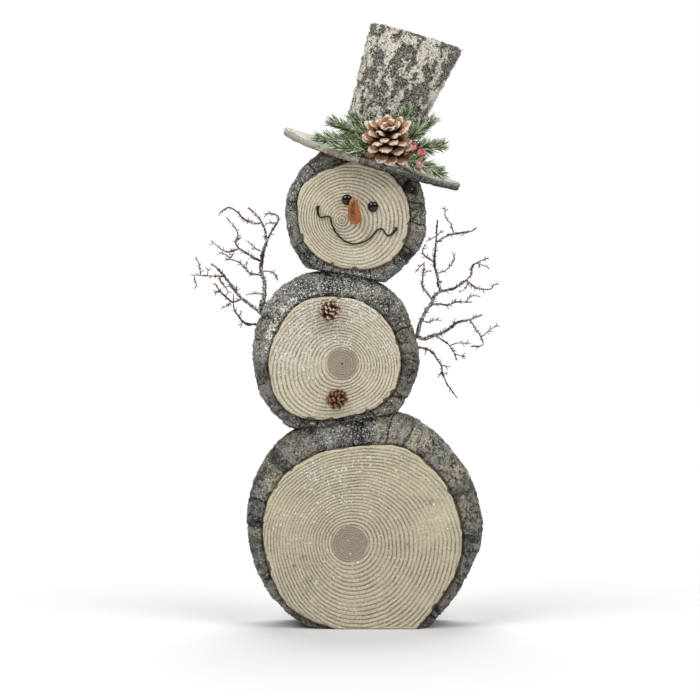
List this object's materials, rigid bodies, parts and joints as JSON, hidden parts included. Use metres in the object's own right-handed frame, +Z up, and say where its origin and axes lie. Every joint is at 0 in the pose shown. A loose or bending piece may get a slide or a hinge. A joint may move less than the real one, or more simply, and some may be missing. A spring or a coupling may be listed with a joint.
{
  "type": "wooden snowman figure",
  "caption": "Free-standing snowman of stacked bark-edged log slices with a tilted bark top hat, fir spray, wire smile and swivelling twig arms.",
  "frame": {"origin": "middle of the foot flat on the table, half-way through the slices' thickness", "axes": "+Z up the figure, -Y the way the face looks, +X to the right of someone looking at the face"},
  "size_m": [0.3164, 0.1256, 0.6158],
  "materials": {
    "sawn_wood": "pale washed end grain with raised growth rings, matte",
    "log_bark": "grey weathered bark, rough and cracked, frosted with snow and glitter",
    "dowel_wood": "plain turned hardwood, matte",
    "brim_wood": "thin rough board, snowy and matte",
    "brim_bark": "grey bark edge, rough",
    "crown_wood": "plain block end grain, matte",
    "crown_bark": "grey bark with cream flakes, rough and frosted",
    "eye_gloss": "black, very glossy",
    "carrot_paint": "painted orange-brown with dark streaks, satin",
    "smile_metal": "black coated wire, satin",
    "cone_scales": "brown woody scales with frosted tips, matte",
    "clear_glue": "dried craft glue, translucent cream",
    "twig_bark": "dark brown knobbly twig with silver frost, rough",
    "berry_red": "red berry under sugar frost, satin",
    "fir_needles": "green needles flocked white, matte"
  },
  "bodies": {
    "root": {"lower_slice_wood": "sawn_wood", "middle_slice_wood": "sawn_wood", "head_slice_wood": "sawn_wood", "lower_slice_bark": "log_bark", "middle_slice_bark": "log_bark", "head_slice_bark": "log_bark", "waist_dowel_left": "dowel_wood", "waist_dowel_right": "dowel_wood", "neck_dowel_left": "dowel_wood", "neck_dowel_right": "dowel_wood", "hat_dowel_left": "dowel_wood", "hat_dowel_right": "dowel_wood", "hat_brim": "brim_wood", "hat_brim_bark_edge": "brim_bark", "hat_crown_block": "crown_wood", "hat_crown_bark": "crown_bark", "left_eye": "eye_gloss", "right_eye": "eye_gloss", "carrot_nose": "carrot_paint", "smile_wire": "smile_metal", "upper_button_cone": "cone_scales", "lower_button_cone": "cone_scales", "upper_button_glue": "clear_glue", "lower_button_glue": "clear_glue", "left_side_twig": "twig_bark", "right_side_twig": "twig_bark", "hat_cone": "cone_scales", "spray_glue": "clear_glue", "berry_upper": "berry_red", "berry_middle": "berry_red", "berry_lower": "berry_red", "sprig_left_low": "fir_needles", "sprig_left_long": "fir_needles", "sprig_left_high": "fir_needles", "sprig_left_crown": "fir_needles", "sprig_right_crown": "fir_needles", "sprig_right_high": "fir_needles", "sprig_right_long": "fir_needles", "sprig_right_low": "fir_needles"},
    "left_arm": {"left_twig_arm": "twig_bark"},
    "right_arm": {"right_twig_arm": "twig_bark"}
  },
  "joints": [
    {"name": "left_arm_swivel", "type": "hinge", "parent": "root", "child": "left_arm", "pos_m": [-0.10788, 0, 0.3187], "axis": [-0.8616, 0, 0.5075], "range_deg": [-20, 20]},
    {"name": "right_arm_swivel", "type": "hinge", "parent": "root", "child": "right_arm", "pos_m": [0.0487, 0, 0.29487], "axis": [0.9681, 0, 0.2504], "range_deg": [-20, 20]}
  ]
}
